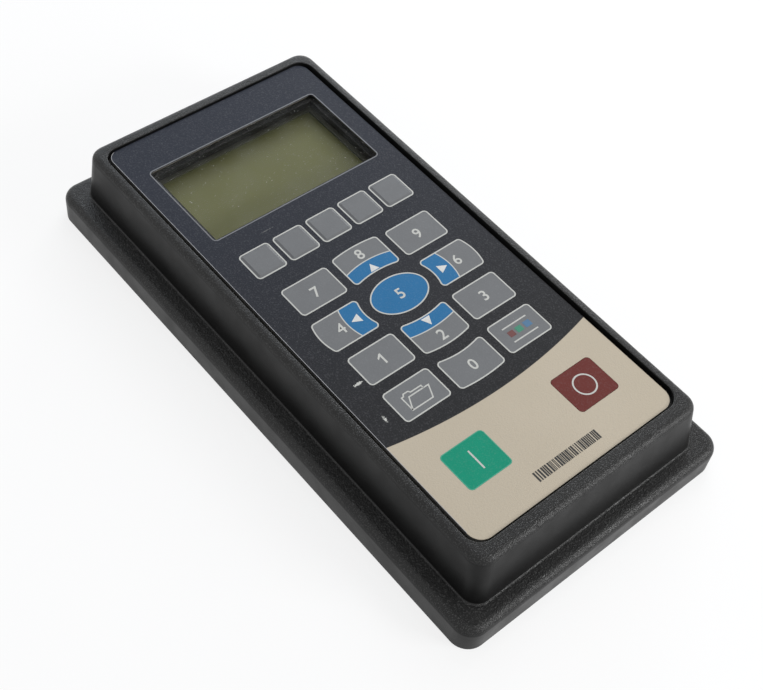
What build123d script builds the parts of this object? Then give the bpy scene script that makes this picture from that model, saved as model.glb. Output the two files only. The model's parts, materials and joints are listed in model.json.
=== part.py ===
"""Panel-mount drive keypad: a raised housing on a flange, a membrane keypad, a display and its board.

Millimetres. X runs across the face, Y up the face towards the display, Z out of the panel.
The origin is the middle of the rear face, which lies on the panel.
"""
from build123d import *

import os

os.makedirs("parts", exist_ok=True)

# Housing
FLANGE_WIDTH = 93.0
FLANGE_LENGTH = 180.0
FLANGE_HEIGHT = 8.8
FLANGE_CORNER = 5.5
FLANGE_EDGE = 2.3
TOTAL_HEIGHT = 25.0
BODY_FOOT = (80.8, 170.0)
BODY_FOOT_Y = 0.2
BODY_TOP = (78.2, 166.2)
BODY_TOP_Y = 0.9
BODY_CORNER = 4.6
BODY_EDGE = 2.2
ROOT_EDGE = 0.5
RIM_EDGE = 0.35
LEDGE = 1.0
CAVITY_WIDTH = 75.6
CAVITY_LENGTH = 163.8
CAVITY_CORNER = 3.0
RIB = 1.2
RIB_DEPTH = 3.4
RIB_ROWS = (-64.0, -36.0, -8.0, 20.0)
RIB_COLUMNS = (-12.0, 12.0)

# Stack of layers in the face recess, from the top down
FACE = TOTAL_HEIGHT - 0.7
FILM = 0.3
SPACER = 0.85
CIRCUIT_FILM = 0.25
DECK = 2.0
FILM_BOTTOM = FACE - FILM
CIRCUIT_TOP = FILM_BOTTOM - SPACER
DECK_TOP = CIRCUIT_TOP - CIRCUIT_FILM
DECK_BOTTOM = DECK_TOP - DECK

# Face layout
OVERLAY_SIZE = (70.0, 157.2)
OVERLAY_Y = 1.4
OVERLAY_CORNERS = (3.4, 4.2)
RECESS_SIZE = (72.4, 158.1)
RECESS_Y = 1.3
RECESS_CORNERS = (4.3, 4.9)
WINDOW_WIDTH = 58.3
WINDOW_HEIGHT = 31.5
WINDOW_Y = 51.6
WINDOW_CORNER = 1.2
WINDOW_LEDGE = 1.3
WINDOW_HOLE = (WINDOW_WIDTH + 1, WINDOW_HEIGHT + 1)

# Keys
KEY_TRAVEL = 0.3
KEY_GAP = 0.1
KEY_CORNER = 1.2
COLUMN_X = 18.2
ROW_PITCH = 13.95
MIDDLE_ROW_Y = -7.7
NUMBER_KEY = (15.25, 10.35)
SOFT_KEY = (9.8, 9.8)
SOFT_PITCH = 11.4
SOFT_Y = 22.75
EMBOSS_INSET = 0.45
EMBOSS_HEIGHT = 0.3
EMBOSS_TAPER = 62.0
RUN_KEY = (14.2, 12.1)
RUN_X = 19.25
RUN_Y = -59.1
ARCHED_HALF = 7.9
SIDE_HALF = 5.4
SIDE_NEAR = (10.7, 12.1)
SIDE_FAR = (26.2, 27.2)
OVAL_KEY = (9.0, 6.2)
NUB_RADIUS = 2.0
NUB_SIDES = 8
NUB_DEPTH = 0.15
DOME_RADIUS = 3.4
DOME_TOP_RADIUS = 1.4
DOME_SIDES = 8
DOME_CLEARANCE = 0.05
DOME_HEIGHT = SPACER - NUB_DEPTH - KEY_TRAVEL - DOME_CLEARANCE

# Rear: gasket, cover, panel inserts
GASKET = 1.2
GASKET_WIDTH = 88.0
GASKET_LENGTH = 175.0
GASKET_CORNER = 3.5
GASKET_GAP = 0.2
CUTOUT_WIDTH = 67.0
CUTOUT_LENGTH = 154.0
CUTOUT_CORNER = 2.0
COVER_THICKNESS = 2.4
COVER_GAP = 0.2
COVER_LIP = 1.2
COVER_LIP_HEIGHT = 1.6
COVER_LIP_CORNER = 1.0
COVER_RIBS = (-40.0, -20.0, 12.0, 40.0)
INSERT_X = 38.5
INSERT_Y = 67.0
INSERT_RADIUS = 2.8
INSERT_BORE = 1.65
INSERT_LENGTH = 5.6
INSERT_RELIEF = 0.4
INSERT_BOSS = 4.2
INSERT_POINTS = [(side * INSERT_X, y) for side in (-1, 1) for y in (-INSERT_Y, 0, INSERT_Y)]
COVER_POINTS = [(side * 29.0, y) for side in (-1, 1) for y in (-74.6, -8.0, 74.6)]
COVER_TOP = GASKET + COVER_THICKNESS
CORE_SKIN = 2.5
CORE_INNER = (BODY_FOOT[0] + 0.8, BODY_FOOT[1] + 0.2)
CORE_CORNER = 3.1
WEB = 1.6
WEB_PITCH_LONG = 16.0
WEB_PITCH_SHORT = 15.0

# Screws
SCREW_RADIUS = 1.2
HEAD_RADIUS = 2.1
HEAD_HEIGHT = 1.3
SCREW_BOSS = 3.0
COVER_SCREW_LENGTH = 9.0
BOARD_SCREW_LENGTH = 6.0
SCREW_CLEARANCE = 0.15
HEAD_CLEARANCE = 0.2
BOARD_CLEARANCE = 0.4

# Board and display
BOARD = 1.6
BOARD_TOP = 13.3
BOARD_WIDTH = 67.6
BOARD_LENGTH = 154.0
BOARD_CORNER = 2.0
BOARD_BOTTOM = BOARD_TOP - BOARD
BOARD_POINTS = [(side * 29.0, y) for side in (-1, 1) for y in (-50.0, 24.0)]
VIEW_WIDTH = 53.9
VIEW_HEIGHT = 27.9
GLASS_TOP = 19.3
GLASS = (62.0, 37.0, 2.0)
GLASS_BOTTOM = GLASS_TOP - GLASS[2]
LIGHT_GUIDE = (61.0, 31.0)
STRIP = (52.0, 2.0)
STRIP_PITCH = LIGHT_GUIDE[1] + STRIP[1] + 0.4
FRAME_WALL = 0.6
FRAME_SIZE = (64.0, 39.4)
FRAME_TOP = GLASS_TOP + FRAME_WALL
SEAL_INSET = 0.5
TAB = (4.0, 0.6, 2.4)
TAB_PITCH = 40.0
TAB_CLEARANCE = 0.2
SOCKET_Y = -60.0
SOCKET_BODY = (14.0, 13.0)
SOCKET_FACE = 0.9
SOCKET_CLEARANCE = 0.3
SHELL_RADIUS = 5.6
SHELL_BORE = 4.9
SHELL_DEPTH = 5.5
INSULATOR_RADIUS = 4.0
INSULATOR_SET_BACK = 0.5
CONTACT_SET_BACK = 0.9
CONTACT_CIRCLE = 2.4
CONTACT_RADIUS = 0.45
CONTACT_SIDES = 6
CONTACTS = 8
TAIL_Y = 14.9
TAIL_WIDTH = 12.0
TAIL_SLOT = (TAIL_WIDTH + 2, 1.6)
TAIL_FOOT = BOARD_TOP + 1.0
TAIL_CONNECTOR = (TAIL_WIDTH + 5, 4.2, 3.2)
CHIPS = [((0, -20), (14.0, 14.0)), ((14, 4), (12.0, 8.0)), ((-14, 4), (10.0, 6.0)), ((12, -42), (9.0, 6.0))]
CHIP_HEIGHT = 1.6
CHIP_EDGE = 0.3
SMALL_PART = (2.0, 1.25, 0.9)
SMALL_PART_PITCH = (4.0, 3.6)
SMALL_PART_GROUPS = [(-14, -24), (14, -24), (-14, -42)]
CRYSTAL = (11.0, 4.6, 3.5)
CRYSTAL_POINT = (0, -36)
CAPACITOR_RADIUS = 3.15
CAPACITOR_HEIGHT = 5.4
CAPACITOR_POINTS = [(-4, -46), (4, -46)]


def face_outline(size, y, corners):
    """Outline of the face film or of its recess: the lower corners are rounder than the upper ones."""
    with BuildSketch() as outline:
        with Locations((0, y)):
            Rectangle(*size)
        fillet(outline.vertices().group_by(Axis.Y)[-1], corners[0])
        fillet(outline.vertices().group_by(Axis.Y)[0], corners[1])
    return outline.sketch


def box_key(x, y, size):
    """Outline of a plain key: a rounded rectangle."""
    with BuildSketch() as outline:
        with Locations((x, y)):
            RectangleRounded(*size, KEY_CORNER)
    return outline.sketch


def arched_key(half, low_corner, low_middle, high_corner, high_middle, sideways=False):
    """Outline of a key with two straight sides and two arched ones, upright or lying on its side.

    The arches run from corner to corner through a middle point, so they can bulge or be hollow.
    """
    def at(across, along):
        return (along, across + MIDDLE_ROW_Y) if sideways else (across, along)

    with BuildSketch() as outline:
        with BuildLine():
            Line(at(-half, low_corner), at(-half, high_corner))
            ThreePointArc(at(-half, high_corner), at(0, high_middle), at(half, high_corner))
            Line(at(half, high_corner), at(half, low_corner))
            ThreePointArc(at(half, low_corner), at(0, low_middle), at(-half, low_corner))
        make_face()
        fillet(outline.vertices(), KEY_CORNER)
    return outline.sketch


def oval_key(margin=0.0):
    """Outline of the oval key in the middle of the arrow ring, grown by a margin."""
    with BuildSketch() as outline:
        with Locations((0, MIDDLE_ROW_Y)):
            Ellipse(OVAL_KEY[0] + margin, OVAL_KEY[1] + margin)
    return outline.sketch


def row(number):
    """Height of a row of keys on the face; row 0 is the middle of the arrow ring."""
    return MIDDLE_ROW_Y + number * ROW_PITCH


KEYS = {
    "key_7": box_key(-COLUMN_X, row(1), NUMBER_KEY),
    "key_8": arched_key(ARCHED_HALF, row(1) - 5.4, row(1) - 4.3, row(1) + 5.65, row(1) + 6.35),
    "key_9": box_key(COLUMN_X, row(1), NUMBER_KEY),
    "key_4": arched_key(SIDE_HALF, -SIDE_FAR[0], -SIDE_FAR[1], -SIDE_NEAR[0], -SIDE_NEAR[1], True),
    "key_5": oval_key(),
    "key_6": arched_key(SIDE_HALF, SIDE_NEAR[0], SIDE_NEAR[1], SIDE_FAR[0], SIDE_FAR[1], True),
    "key_1": box_key(-COLUMN_X, row(-1), NUMBER_KEY),
    "key_2": arched_key(ARCHED_HALF, row(-1) - 5.6, row(-1) - 6.5, row(-1) + 5.4, row(-1) + 4.3),
    "key_3": box_key(COLUMN_X, row(-1), NUMBER_KEY),
    "key_folder": box_key(-COLUMN_X, row(-2), NUMBER_KEY),
    "key_0": arched_key(ARCHED_HALF, row(-2) - 5.6, row(-2) - 6.2, row(-2) + 4.75, row(-2) + 3.6),
    "key_bars": box_key(COLUMN_X, row(-2), NUMBER_KEY),
    "key_start": box_key(-RUN_X, RUN_Y, RUN_KEY),
    "key_stop": box_key(RUN_X, RUN_Y, RUN_KEY),
}
for number in range(5):
    KEYS[f"soft_key_{number + 1}"] = box_key((number - 2) * SOFT_PITCH, SOFT_Y, SOFT_KEY)

KEY_CENTRES = {name: outline.face().center() for name, outline in KEYS.items()}
KEY_OPENINGS = [offset(KEYS[name].face(), amount=KEY_GAP) for name in KEYS if name != "key_5"]
KEY_OPENINGS.append(oval_key(KEY_GAP))
OVERLAY = face_outline(OVERLAY_SIZE, OVERLAY_Y, OVERLAY_CORNERS)
RECESS = face_outline(RECESS_SIZE, RECESS_Y, RECESS_CORNERS)


def outside_body(edge):
    """Tell whether an edge of the flange's top belongs to its outer rim, not to the foot of the body."""
    centre = edge.center()
    return 4 * abs(centre.X) > BODY_FOOT[0] + FLANGE_WIDTH or 4 * abs(centre.Y) > BODY_FOOT[1] + FLANGE_LENGTH


def save(piece, name):
    """Label a finished piece and write it to its own file."""
    piece.part.label = name
    export_step(piece.part, f"parts/{name}.step")


# Front housing: the raised body, the flange, the deck under the face, bosses and ribs
with BuildPart() as front_housing:
    with BuildSketch(Plane.XY.offset(FLANGE_HEIGHT)):
        with Locations((0, BODY_FOOT_Y)):
            RectangleRounded(*BODY_FOOT, BODY_CORNER)
    with BuildSketch(Plane.XY.offset(TOTAL_HEIGHT)):
        with Locations((0, BODY_TOP_Y)):
            RectangleRounded(*BODY_TOP, BODY_CORNER)
    loft()
    fillet(front_housing.faces().sort_by(Axis.Z)[-1].edges(), BODY_EDGE)
    with BuildSketch():
        RectangleRounded(FLANGE_WIDTH, FLANGE_LENGTH, FLANGE_CORNER)
    extrude(amount=FLANGE_HEIGHT)
    flange_top = front_housing.edges().filter_by_position(Axis.Z, FLANGE_HEIGHT, FLANGE_HEIGHT)
    foot = flange_top.filter_by(outside_body, reverse=True)
    fillet(flange_top.filter_by(outside_body), FLANGE_EDGE)
    fillet(foot, ROOT_EDGE)

    # Hollow for the board, with a step that the rear cover sits on
    with BuildSketch():
        RectangleRounded(CAVITY_WIDTH, CAVITY_LENGTH, CAVITY_CORNER)
    extrude(amount=COVER_TOP, mode=Mode.SUBTRACT)
    with BuildSketch():
        RectangleRounded(CAVITY_WIDTH - 2 * LEDGE, CAVITY_LENGTH - 2 * LEDGE, CAVITY_CORNER - LEDGE)
    extrude(amount=DECK_BOTTOM, mode=Mode.SUBTRACT)

    # Recess for the layers of the face
    with BuildSketch(Plane.XY.offset(DECK_TOP)):
        add(RECESS)
    extrude(amount=TOTAL_HEIGHT, mode=Mode.SUBTRACT)
    fillet(front_housing.faces().sort_by(Axis.Z)[-1].inner_wires()[0].edges(), RIM_EDGE)

    # Opening over the display and the slot for the keypad's tail
    with BuildSketch(Plane.XY.offset(DECK_BOTTOM)):
        with Locations((0, WINDOW_Y)):
            Rectangle(WINDOW_WIDTH - 2 * WINDOW_LEDGE, WINDOW_HEIGHT - 2 * WINDOW_LEDGE)
        with Locations((0, TAIL_Y)):
            Rectangle(*TAIL_SLOT)
    extrude(amount=DECK, mode=Mode.SUBTRACT)

    # Shallow seat for the panel gasket and the cored groove in the flange, crossed by webs
    with BuildSketch():
        RectangleRounded(GASKET_WIDTH, GASKET_LENGTH, GASKET_CORNER)
    extrude(amount=GASKET, mode=Mode.SUBTRACT)
    with BuildSketch(Plane.XY.offset(GASKET)):
        RectangleRounded(GASKET_WIDTH, GASKET_LENGTH, GASKET_CORNER)
        with Locations((0, BODY_FOOT_Y)):
            RectangleRounded(*CORE_INNER, CORE_CORNER, mode=Mode.SUBTRACT)
        with GridLocations(0, WEB_PITCH_LONG, 1, 10):
            Rectangle(FLANGE_WIDTH, WEB, mode=Mode.SUBTRACT)
        with GridLocations(WEB_PITCH_SHORT, 0, 5, 1):
            Rectangle(WEB, FLANGE_LENGTH, mode=Mode.SUBTRACT)
    extrude(amount=FLANGE_HEIGHT - CORE_SKIN - GASKET, mode=Mode.SUBTRACT)

    # Bosses for the panel inserts, the cover screws and the board screws
    with BuildSketch(Plane.XY.offset(GASKET)):
        with Locations(*INSERT_POINTS):
            Circle(INSERT_BOSS)
    extrude(amount=FLANGE_HEIGHT - GASKET)
    with BuildSketch(Plane.XY.offset(COVER_TOP)):
        with Locations(*COVER_POINTS):
            Circle(SCREW_BOSS)
    extrude(amount=DECK_BOTTOM - COVER_TOP)
    with BuildSketch(Plane.XY.offset(BOARD_TOP)):
        with Locations(*BOARD_POINTS):
            Circle(SCREW_BOSS)
    extrude(amount=DECK_BOTTOM - BOARD_TOP)

    # Ribs under the keypad
    with BuildSketch(Plane.XY.offset(DECK_BOTTOM)):
        for y in RIB_ROWS:
            with Locations((0, y)):
                Rectangle(CAVITY_WIDTH - LEDGE, RIB)
        for x in RIB_COLUMNS:
            with Locations((x, (RIB_ROWS[0] + RIB_ROWS[-1]) / 2)):
                Rectangle(RIB, RIB_ROWS[-1] - RIB_ROWS[0])
    extrude(amount=-RIB_DEPTH)

    # Holes in the bosses
    with BuildSketch(Plane.XY.offset(GASKET)):
        with Locations(*INSERT_POINTS):
            Circle(INSERT_RADIUS)
    extrude(amount=INSERT_LENGTH + INSERT_RELIEF, mode=Mode.SUBTRACT)
    with BuildSketch(Plane.XY.offset(COVER_TOP)):
        with Locations(*COVER_POINTS):
            Circle(SCREW_RADIUS)
    extrude(amount=COVER_SCREW_LENGTH, mode=Mode.SUBTRACT)
    with BuildSketch(Plane.XY.offset(BOARD_TOP)):
        with Locations(*BOARD_POINTS):
            Circle(SCREW_RADIUS)
    extrude(amount=BOARD_SCREW_LENGTH, mode=Mode.SUBTRACT)
save(front_housing, "front_housing")

# Keypad layers: flexible circuit with its tail, spacer, domes and printed film
with BuildPart() as keypad_circuit:
    with BuildSketch(Plane.XY.offset(DECK_TOP)):
        add(OVERLAY)
        with Locations((0, WINDOW_Y)):
            Rectangle(*WINDOW_HOLE, mode=Mode.SUBTRACT)
    extrude(amount=CIRCUIT_FILM)
    with BuildSketch(Plane.XY.offset(TAIL_FOOT)):
        with Locations((0, TAIL_Y)):
            Rectangle(TAIL_WIDTH, CIRCUIT_FILM)
    extrude(amount=DECK_TOP - TAIL_FOOT)
save(keypad_circuit, "keypad_circuit")

with BuildPart() as keypad_spacer:
    with BuildSketch(Plane.XY.offset(CIRCUIT_TOP)):
        add(OVERLAY)
        with Locations((0, WINDOW_Y)):
            Rectangle(*WINDOW_HOLE, mode=Mode.SUBTRACT)
        for outline in KEYS.values():
            box = outline.bounding_box()
            with Locations((box.center().X, box.center().Y)):
                Rectangle(box.size.X + 2 * KEY_GAP, box.size.Y + 2 * KEY_GAP, mode=Mode.SUBTRACT)
    extrude(amount=SPACER)
save(keypad_spacer, "keypad_spacer")

with BuildPart() as snap_domes:
    for centre in KEY_CENTRES.values():
        with BuildSketch(Plane.XY.offset(CIRCUIT_TOP)):
            with Locations((centre.X, centre.Y)):
                RegularPolygon(DOME_RADIUS, DOME_SIDES)
        with BuildSketch(Plane.XY.offset(CIRCUIT_TOP + DOME_HEIGHT)):
            with Locations((centre.X, centre.Y)):
                RegularPolygon(DOME_TOP_RADIUS, DOME_SIDES)
        loft()
save(snap_domes, "snap_domes")

with BuildPart() as graphic_overlay:
    with BuildSketch(Plane.XY.offset(FILM_BOTTOM)):
        add(OVERLAY)
        with Locations((0, WINDOW_Y)):
            RectangleRounded(WINDOW_WIDTH, WINDOW_HEIGHT, WINDOW_CORNER, mode=Mode.SUBTRACT)
        add(KEY_OPENINGS, mode=Mode.SUBTRACT)
    extrude(amount=FILM)
save(graphic_overlay, "graphic_overlay")

for name, outline in KEYS.items():
    with BuildPart() as key:
        with BuildSketch(Plane.XY.offset(FILM_BOTTOM)):
            add(outline)
        extrude(amount=FILM)
        with BuildSketch(Plane.XY.offset(FILM_BOTTOM)):
            with Locations((KEY_CENTRES[name].X, KEY_CENTRES[name].Y)):
                RegularPolygon(NUB_RADIUS, NUB_SIDES)
        extrude(amount=-NUB_DEPTH)
        if name.startswith("soft"):
            with BuildSketch(Plane.XY.offset(FACE)):
                offset(outline.face(), amount=-EMBOSS_INSET)
            extrude(amount=EMBOSS_HEIGHT, taper=EMBOSS_TAPER)
    save(key, name)

# Display: window, foam seal, metal frame, glass, light guide and contact strips
with BuildPart() as display_window:
    with BuildSketch(Plane.XY.offset(DECK_TOP)):
        with Locations((0, WINDOW_Y)):
            RectangleRounded(WINDOW_WIDTH, WINDOW_HEIGHT, WINDOW_CORNER)
    extrude(amount=FACE - DECK_TOP)
save(display_window, "display_window")

with BuildPart() as display_seal:
    with BuildSketch(Plane.XY.offset(FRAME_TOP)):
        with Locations((0, WINDOW_Y)):
            Rectangle(FRAME_SIZE[0] - 2 * SEAL_INSET, FRAME_SIZE[1] - 2 * SEAL_INSET)
            Rectangle(WINDOW_WIDTH, WINDOW_HEIGHT, mode=Mode.SUBTRACT)
    extrude(amount=DECK_BOTTOM - FRAME_TOP)
save(display_seal, "display_seal")

with BuildPart() as display_frame:
    with BuildSketch(Plane.XY.offset(BOARD_TOP)):
        with Locations((0, WINDOW_Y)):
            Rectangle(*FRAME_SIZE)
    extrude(amount=FRAME_TOP - BOARD_TOP)
    with BuildSketch(Plane.XY.offset(BOARD_TOP)):
        with Locations((0, WINDOW_Y)):
            Rectangle(FRAME_SIZE[0] - 2 * FRAME_WALL, FRAME_SIZE[1] - 2 * FRAME_WALL)
    extrude(amount=GLASS_TOP - BOARD_TOP, mode=Mode.SUBTRACT)
    with BuildSketch(Plane.XY.offset(GLASS_TOP)):
        with Locations((0, WINDOW_Y)):
            Rectangle(VIEW_WIDTH, VIEW_HEIGHT)
    extrude(amount=FRAME_WALL, mode=Mode.SUBTRACT)
    with BuildSketch(Plane.XY.offset(BOARD_TOP)):
        for side in (-1, 1):
            with Locations((0, WINDOW_Y + side * (FRAME_SIZE[1] - FRAME_WALL) / 2)):
                with GridLocations(TAB_PITCH, 0, 2, 1):
                    Rectangle(TAB[0], TAB[1])
    extrude(amount=-TAB[2])
save(display_frame, "display_frame")

with BuildPart() as display_glass:
    with BuildSketch(Plane.XY.offset(GLASS_BOTTOM)):
        with Locations((0, WINDOW_Y)):
            Rectangle(GLASS[0], GLASS[1])
    extrude(amount=GLASS[2])
save(display_glass, "display_glass")

with BuildPart() as light_guide:
    with BuildSketch(Plane.XY.offset(BOARD_TOP)):
        with Locations((0, WINDOW_Y)):
            Rectangle(*LIGHT_GUIDE)
    extrude(amount=GLASS_BOTTOM - BOARD_TOP)
save(light_guide, "light_guide")

with BuildPart() as contact_strips:
    with BuildSketch(Plane.XY.offset(BOARD_TOP)):
        with Locations((0, WINDOW_Y)):
            with GridLocations(0, STRIP_PITCH, 1, 2):
                Rectangle(*STRIP)
    extrude(amount=GLASS_BOTTOM - BOARD_TOP)
save(contact_strips, "contact_strips")

# Board and what it carries
with BuildPart() as main_board:
    with BuildSketch(Plane.XY.offset(BOARD_BOTTOM)):
        RectangleRounded(BOARD_WIDTH, BOARD_LENGTH, BOARD_CORNER)
        with Locations(*COVER_POINTS):
            Circle(SCREW_BOSS + BOARD_CLEARANCE, mode=Mode.SUBTRACT)
        with Locations(*BOARD_POINTS):
            Circle(SCREW_RADIUS + SCREW_CLEARANCE, mode=Mode.SUBTRACT)
        for side in (-1, 1):
            with Locations((0, WINDOW_Y + side * (FRAME_SIZE[1] - FRAME_WALL) / 2)):
                with GridLocations(TAB_PITCH, 0, 2, 1):
                    Rectangle(TAB[0] + 2 * TAB_CLEARANCE, TAB[1] + 2 * TAB_CLEARANCE, mode=Mode.SUBTRACT)
    extrude(amount=BOARD)
save(main_board, "main_board")

with BuildPart() as circuit_chips:
    with BuildSketch(Plane.XY.offset(BOARD_BOTTOM)):
        for place, size in CHIPS:
            with Locations(place):
                Rectangle(*size)
    extrude(amount=-CHIP_HEIGHT)
    chamfer(circuit_chips.faces().group_by(Axis.Z)[0].edges(), CHIP_EDGE)
save(circuit_chips, "circuit_chips")

with BuildPart() as board_small_parts:
    with BuildSketch(Plane.XY.offset(BOARD_BOTTOM)):
        with Locations(*SMALL_PART_GROUPS):
            with GridLocations(*SMALL_PART_PITCH, 3, 3):
                Rectangle(SMALL_PART[0], SMALL_PART[1])
    extrude(amount=-SMALL_PART[2])
save(board_small_parts, "board_small_parts")

with BuildPart() as quartz_crystal:
    with BuildSketch(Plane.XY.offset(BOARD_BOTTOM)):
        with Locations(CRYSTAL_POINT):
            SlotOverall(CRYSTAL[0], CRYSTAL[1])
    extrude(amount=-CRYSTAL[2])
save(quartz_crystal, "quartz_crystal")

with BuildPart() as power_capacitors:
    with BuildSketch(Plane.XY.offset(BOARD_BOTTOM)):
        with Locations(*CAPACITOR_POINTS):
            Circle(CAPACITOR_RADIUS)
    extrude(amount=-CAPACITOR_HEIGHT)
save(power_capacitors, "power_capacitors")

with BuildPart() as tail_connector:
    with BuildSketch(Plane.XY.offset(BOARD_TOP)):
        with Locations((0, TAIL_Y)):
            Rectangle(TAIL_CONNECTOR[0], TAIL_CONNECTOR[1])
    extrude(amount=TAIL_CONNECTOR[2])
    with BuildSketch(Plane.XY.offset(TAIL_FOOT)):
        with Locations((0, TAIL_Y)):
            Rectangle(TAIL_WIDTH + 0.2, CIRCUIT_FILM + 0.1)
    extrude(amount=TAIL_CONNECTOR[2], mode=Mode.SUBTRACT)
save(tail_connector, "tail_connector")

# Round cable socket, open to the rear: moulded body, metal shell and contacts
with BuildPart() as cable_socket:
    with BuildSketch(Plane.XY.offset(SOCKET_FACE)):
        with Locations((0, SOCKET_Y)):
            Rectangle(*SOCKET_BODY)
            Circle(SHELL_RADIUS, mode=Mode.SUBTRACT)
    extrude(amount=SHELL_DEPTH)
    with BuildSketch(Plane.XY.offset(SOCKET_FACE + SHELL_DEPTH)):
        with Locations((0, SOCKET_Y)):
            Rectangle(*SOCKET_BODY)
    extrude(amount=BOARD_BOTTOM - SOCKET_FACE - SHELL_DEPTH)
    with BuildSketch(Plane.XY.offset(SOCKET_FACE + INSULATOR_SET_BACK)):
        with Locations((0, SOCKET_Y)):
            Circle(INSULATOR_RADIUS)
            with PolarLocations(CONTACT_CIRCLE, CONTACTS):
                RegularPolygon(CONTACT_RADIUS, CONTACT_SIDES, mode=Mode.SUBTRACT)
    extrude(amount=SHELL_DEPTH - INSULATOR_SET_BACK)
save(cable_socket, "cable_socket")

with BuildPart() as socket_shell:
    with BuildSketch(Plane.XY.offset(SOCKET_FACE)):
        with Locations((0, SOCKET_Y)):
            Circle(SHELL_RADIUS)
            Circle(SHELL_BORE, mode=Mode.SUBTRACT)
    extrude(amount=SHELL_DEPTH)
save(socket_shell, "socket_shell")

with BuildPart() as socket_contacts:
    with BuildSketch(Plane.XY.offset(SOCKET_FACE + CONTACT_SET_BACK)):
        with Locations((0, SOCKET_Y)):
            with PolarLocations(CONTACT_CIRCLE, CONTACTS):
                RegularPolygon(CONTACT_RADIUS, CONTACT_SIDES)
    extrude(amount=SHELL_DEPTH - CONTACT_SET_BACK)
save(socket_contacts, "socket_contacts")

# Rear cover with its locating lip, screw counterbores and socket opening
with BuildPart() as rear_cover:
    with BuildSketch(Plane.XY.offset(GASKET)):
        RectangleRounded(CAVITY_WIDTH - 2 * COVER_GAP, CAVITY_LENGTH - 2 * COVER_GAP, CAVITY_CORNER)
    extrude(amount=COVER_THICKNESS)
    with BuildSketch(Plane.XY.offset(COVER_TOP)):
        inner_width = CAVITY_WIDTH - 2 * LEDGE - 2 * COVER_GAP
        inner_length = CAVITY_LENGTH - 2 * LEDGE - 2 * COVER_GAP
        RectangleRounded(inner_width, inner_length, CAVITY_CORNER - LEDGE)
        lip_opening = (inner_width - 2 * COVER_LIP, inner_length - 2 * COVER_LIP)
        RectangleRounded(*lip_opening, COVER_LIP_CORNER, mode=Mode.SUBTRACT)
        for y in COVER_RIBS:
            with Locations((0, y)):
                Rectangle(inner_width, COVER_LIP)
    extrude(amount=COVER_LIP_HEIGHT)
    with BuildSketch(Plane.XY.offset(GASKET)):
        with Locations(*INSERT_POINTS):
            Circle(INSERT_BOSS + COVER_GAP)
    extrude(amount=COVER_THICKNESS + COVER_LIP_HEIGHT, mode=Mode.SUBTRACT)
    with BuildSketch(Plane.XY.offset(COVER_TOP)):
        with Locations(*COVER_POINTS):
            Circle(SCREW_BOSS + COVER_GAP)
    extrude(amount=COVER_LIP_HEIGHT, mode=Mode.SUBTRACT)
    with BuildSketch(Plane.XY.offset(GASKET)):
        with Locations(*COVER_POINTS):
            Circle(SCREW_RADIUS + SCREW_CLEARANCE)
        with Locations((0, SOCKET_Y)):
            Rectangle(SOCKET_BODY[0] + 2 * SOCKET_CLEARANCE, SOCKET_BODY[1] + 2 * SOCKET_CLEARANCE)
    extrude(amount=COVER_THICKNESS, mode=Mode.SUBTRACT)
    with BuildSketch(Plane.XY.offset(GASKET)):
        with Locations(*COVER_POINTS):
            Circle(HEAD_RADIUS + HEAD_CLEARANCE)
    extrude(amount=HEAD_HEIGHT, mode=Mode.SUBTRACT)
save(rear_cover, "rear_cover")

with BuildPart() as panel_gasket:
    with BuildSketch():
        RectangleRounded(GASKET_WIDTH - 2 * GASKET_GAP, GASKET_LENGTH - 2 * GASKET_GAP, GASKET_CORNER)
        RectangleRounded(CUTOUT_WIDTH, CUTOUT_LENGTH, CUTOUT_CORNER, mode=Mode.SUBTRACT)
        with Locations(*INSERT_POINTS):
            Circle(INSERT_RADIUS, mode=Mode.SUBTRACT)
    extrude(amount=GASKET)
save(panel_gasket, "panel_gasket")

# Fasteners
with BuildPart() as panel_inserts:
    with BuildSketch(Plane.XY.offset(GASKET)):
        with Locations(*INSERT_POINTS):
            Circle(INSERT_RADIUS)
            Circle(INSERT_BORE, mode=Mode.SUBTRACT)
    extrude(amount=INSERT_LENGTH)
save(panel_inserts, "panel_inserts")


def screws(points, seat, length):
    """Pan-head screws driven upwards: the heads seat at one height and the shanks reach up from it."""
    with BuildPart() as group:
        with BuildSketch(Plane.XY.offset(seat)):
            with Locations(*points):
                Circle(HEAD_RADIUS)
        extrude(amount=-HEAD_HEIGHT)
        with BuildSketch(Plane.XY.offset(seat)):
            with Locations(*points):
                Circle(SCREW_RADIUS)
        extrude(amount=length)
    return group


save(screws(COVER_POINTS, GASKET + HEAD_HEIGHT, COVER_SCREW_LENGTH), "cover_screws")
save(screws(BOARD_POINTS, BOARD_BOTTOM, BOARD + BOARD_SCREW_LENGTH), "board_screws")
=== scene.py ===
# %% [markdown]
# # A keypad for a motor drive
#
# A panel keypad is a black moulded housing with a printed face film laid into a recess of its top. The solids
# come from CAD as a fixed frame: nothing here moves or reshapes them. Blender adds what a maker adds last, which
# is the print on the film, the grain of the moulding, the light in the display and the marks of use.

# %% Load the solids
import json
import math

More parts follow.
